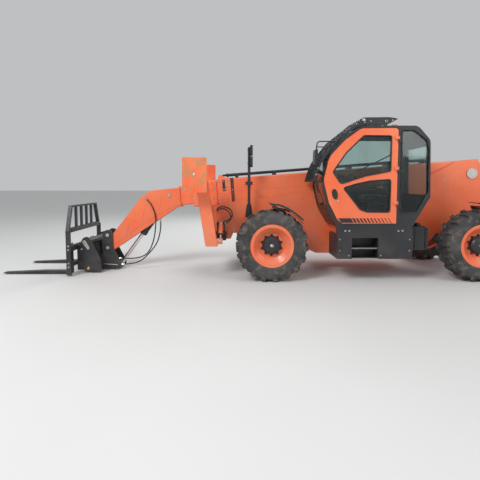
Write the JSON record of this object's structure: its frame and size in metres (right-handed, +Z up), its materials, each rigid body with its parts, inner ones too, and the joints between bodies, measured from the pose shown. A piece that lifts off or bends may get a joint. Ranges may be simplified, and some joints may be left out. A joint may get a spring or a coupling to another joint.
{
  "type": "telehandler",
  "caption": "Telescopic handler with a long raised boom, fork carriage with load guard, side cab, front stabilizers and large lugged tyres on steered axles.",
  "frame": {"origin": "on the ground under the middle of the machine, fork tips to rear face", "axes": "+X to the rear, +Y to the machine's right, +Z up; the forks point to -X and the cab is at -Y"},
  "size_m": [9.1147, 2.35, 2.652],
  "materials": {
    "orange_paint": "semi-gloss enamel, dusty",
    "black_paint": "satin",
    "tyre": "worn, dusty",
    "rod_chrome": "polished, oily",
    "pin_steel": "zinc plated",
    "window_glass": "tinted",
    "engine_iron": "rough cast",
    "seat_cover": "woven",
    "cab_plastic": "grained",
    "red_lens": "moulded",
    "amber_lens": "moulded"
  },
  "bodies": {
    "chassis": {"frame_side_left": "orange_paint", "frame_side_right": "orange_paint", "frame_crossmembers": "orange_paint", "boom_pivot_pin": "pin_steel", "stabilizer_beam": "black_paint", "counterweight": "black_paint", "front_axle": "black_paint", "rear_axle": "black_paint", "cab_shell": "black_paint", "cab_glass": "window_glass", "windscreen_guard": "black_paint", "roof_guard": "black_paint", "operator_seat": "seat_cover", "cab_controls": "cab_plastic", "steering_wheel": "cab_plastic", "step_box": "black_paint", "fuel_tank": "black_paint", "engine_housing": "orange_paint", "engine_block": "engine_iron", "hood_hinges": "black_paint", "beacon": "amber_lens", "tail_lamps": "red_lens", "mirrors": "black_paint"},
    "door": {"cab_door": "orange_paint", "door_glass": "window_glass"},
    "hood": {"engine_hood": "orange_paint"},
    "boom_lower": {"boom_base": "orange_paint", "boom_pipes": "black_paint"},
    "boom_second": {"boom_section_2": "orange_paint"},
    "boom_third": {"boom_section_3": "orange_paint"},
    "boom_fourth": {"boom_section_4": "orange_paint", "gooseneck": "orange_paint"},
    "tool_coupler": {"coupler": "black_paint", "fork_carriage": "black_paint", "forks": "black_paint"},
    "lift_cylinder": {"lift_barrel": "orange_paint"},
    "lift_piston": {"lift_rod": "rod_chrome"},
    "tilt_cylinder": {"tilt_barrel": "black_paint"},
    "tilt_piston": {"tilt_rod": "rod_chrome"},
    "front_steering_rod": {"steering_rod_front": "rod_chrome"},
    "front_left_knuckle": {"knuckle_front_left": "black_paint"},
    "front_left_wheel": {"rim_front_left": "orange_paint", "tyre_front_left": "tyre"},
    "front_right_knuckle": {"knuckle_front_right": "black_paint"},
    "front_right_wheel": {"rim_front_right": "orange_paint", "tyre_front_right": "tyre"},
    "rear_steering_rod": {"steering_rod_rear": "rod_chrome"},
    "rear_left_knuckle": {"knuckle_rear_left": "black_paint"},
    "rear_left_wheel": {"rim_rear_left": "orange_paint", "tyre_rear_left": "tyre"},
    "rear_right_knuckle": {"knuckle_rear_right": "black_paint"},
    "rear_right_wheel": {"rim_rear_right": "orange_paint", "tyre_rear_right": "tyre"},
    "left_stabilizer": {"stabilizer_leg_left": "orange_paint"},
    "left_stabilizer_cylinder": {"stabilizer_left_barrel": "orange_paint"},
    "left_stabilizer_piston": {"stabilizer_left_rod": "rod_chrome"},
    "right_stabilizer": {"stabilizer_leg_right": "orange_paint"},
    "right_stabilizer_cylinder": {"stabilizer_right_barrel": "orange_paint"},
    "right_stabilizer_piston": {"stabilizer_right_rod": "rod_chrome"}
  },
  "joints": [
    {"name": "door_swing", "type": "hinge", "parent": "chassis", "child": "door", "pos_m": [2.152, -1.1575, 1.8], "axis": [0, 0, 1], "range_deg": [0, 100]},
    {"name": "hood_lift", "type": "hinge", "parent": "chassis", "child": "hood", "pos_m": [1.83, 0.27, 1.35], "axis": [1, 0, 0], "range_deg": [0, 60]},
    {"name": "boom_lift", "type": "hinge", "parent": "chassis", "child": "boom_lower", "pos_m": [3.855, 0, 1.79], "axis": [0, 1, 0], "range_deg": [0, 66]},
    {"name": "boom_extend_second", "type": "slide", "parent": "boom_lower", "child": "boom_second", "axis": [-0.997, 0, -0.0771], "range_m": [0, 3.3]},
    {"name": "boom_extend_third", "type": "slide", "parent": "boom_second", "child": "boom_third", "axis": [-0.997, 0, -0.0771], "range_m": [0, 3.3]},
    {"name": "boom_extend_fourth", "type": "slide", "parent": "boom_third", "child": "boom_fourth", "axis": [-0.997, 0, -0.0771], "range_m": [0, 3.3]},
    {"name": "fork_tilt", "type": "hinge", "parent": "boom_fourth", "child": "tool_coupler", "pos_m": [-2.82974, 0, 0.41273], "axis": [0, 1, 0], "range_deg": [-75, 12]},
    {"name": "tilt_cylinder_swing", "type": "hinge", "parent": "boom_fourth", "child": "tilt_cylinder", "pos_m": [-1.67559, 0, 1.38958], "axis": [0, 1, 0], "range_deg": [-0.37, 2.32]},
    {"name": "tilt_piston_stroke", "type": "slide", "parent": "tilt_cylinder", "child": "tilt_piston", "axis": [-0.5925, 0, -0.8055], "range_m": [-0.4683, 0.075]},
    {"name": "lift_cylinder_swing", "type": "hinge", "parent": "chassis", "child": "lift_cylinder", "pos_m": [3.428, 0, 0.886], "axis": [0, 1, 0], "range_deg": [0, 58.27]},
    {"name": "lift_piston_stroke", "type": "slide", "parent": "lift_cylinder", "child": "lift_piston", "axis": [-0.9699, 0, 0.2437], "range_m": [0, 1.07]},
    {"name": "front_left_steer", "type": "hinge", "parent": "chassis", "child": "front_left_knuckle", "pos_m": [0.155, -0.7, 0.59], "axis": [0, 0, 1], "range_deg": [-35, 35]},
    {"name": "front_right_steer", "type": "hinge", "parent": "chassis", "child": "front_right_knuckle", "pos_m": [0.155, 0.7, 0.59], "axis": [0, 0, 1], "range_deg": [-35, 35]},
    {"name": "front_steering_rod_shift", "type": "slide", "parent": "chassis", "child": "front_steering_rod", "axis": [0, 1, 0], "range_m": [-0.1093, 0.1093]},
    {"name": "front_left_wheel_spin", "type": "hinge", "parent": "front_left_knuckle", "child": "front_left_wheel", "pos_m": [0.155, -0.975, 0.59], "axis": [0, 1, 0], "continuous": true},
    {"name": "front_right_wheel_spin", "type": "hinge", "parent": "front_right_knuckle", "child": "front_right_wheel", "pos_m": [0.155, 0.975, 0.59], "axis": [0, 1, 0], "continuous": true},
    {"name": "rear_left_steer", "type": "hinge", "parent": "chassis", "child": "rear_left_knuckle", "pos_m": [3.555, -0.7, 0.59], "axis": [0, 0, 1], "range_deg": [-35, 35]},
    {"name": "rear_right_steer", "type": "hinge", "parent": "chassis", "child": "rear_right_knuckle", "pos_m": [3.555, 0.7, 0.59], "axis": [0, 0, 1], "range_deg": [-35, 35]},
    {"name": "rear_steering_rod_shift", "type": "slide", "parent": "chassis", "child": "rear_steering_rod", "axis": [0, 1, 0], "range_m": [-0.1093, 0.1093]},
    {"name": "rear_left_wheel_spin", "type": "hinge", "parent": "rear_left_knuckle", "child": "rear_left_wheel", "pos_m": [3.555, -0.975, 0.59], "axis": [0, 1, 0], "continuous": true},
    {"name": "rear_right_wheel_spin", "type": "hinge", "parent": "rear_right_knuckle", "child": "rear_right_wheel", "pos_m": [3.555, 0.975, 0.59], "axis": [0, 1, 0], "continuous": true},
    {"name": "left_stabilizer_swing", "type": "hinge", "parent": "chassis", "child": "left_stabilizer", "pos_m": [-0.858, -0.64, 0.62], "axis": [1, 0, 0], "range_deg": [0, 94]},
    {"name": "left_stabilizer_cylinder_swing", "type": "hinge", "parent": "chassis", "child": "left_stabilizer_cylinder", "pos_m": [-0.7, -0.56, 0.905], "axis": [1, 0, 0], "range_deg": [0, 33.14]},
    {"name": "left_stabilizer_piston_stroke", "type": "slide", "parent": "left_stabilizer_cylinder", "child": "left_stabilizer_piston", "axis": [0, -0.7003, -0.7138], "range_m": [0, 0.1267]},
    {"name": "right_stabilizer_swing", "type": "hinge", "parent": "chassis", "child": "right_stabilizer", "pos_m": [-0.858, 0.64, 0.62], "axis": [-1, 0, 0], "range_deg": [0, 94]},
    {"name": "right_stabilizer_cylinder_swing", "type": "hinge", "parent": "chassis", "child": "right_stabilizer_cylinder", "pos_m": [-0.7, 0.56, 0.905], "axis": [-1, 0, 0], "range_deg": [0, 33.14]},
    {"name": "right_stabilizer_piston_stroke", "type": "slide", "parent": "right_stabilizer_cylinder", "child": "right_stabilizer_piston", "axis": [0, 0.7003, -0.7138], "range_m": [0, 0.1267]}
  ],
  "couplings": [
    {"joint": "boom_extend_third", "follows": "boom_extend_second", "ratio": 1},
    {"joint": "boom_extend_fourth", "follows": "boom_extend_second", "ratio": 1},
    {"joint": "tilt_cylinder_swing", "follows": "fork_tilt", "ratio": -0.03094},
    {"joint": "tilt_piston_stroke", "follows": "fork_tilt", "m_per_rad": 0.35761},
    {"joint": "lift_cylinder_swing", "follows": "boom_lift", "ratio": 0.88293},
    {"joint": "lift_piston_stroke", "follows": "boom_lift", "m_per_rad": 0.92874},
    {"joint": "front_right_steer", "follows": "front_left_steer", "ratio": 1},
    {"joint": "front_steering_rod_shift", "follows": "front_left_steer", "m_per_rad": 0.1786},
    {"joint": "rear_right_steer", "follows": "rear_left_steer", "ratio": 1},
    {"joint": "rear_steering_rod_shift", "follows": "rear_left_steer", "m_per_rad": 0.1786},
    {"joint": "left_stabilizer_cylinder_swing", "follows": "left_stabilizer_swing", "ratio": 0.35251},
    {"joint": "left_stabilizer_piston_stroke", "follows": "left_stabilizer_swing", "m_per_rad": 0.077137},
    {"joint": "right_stabilizer_cylinder_swing", "follows": "right_stabilizer_swing", "ratio": 0.35251},
    {"joint": "right_stabilizer_piston_stroke", "follows": "right_stabilizer_swing", "m_per_rad": 0.077137}
  ]
}
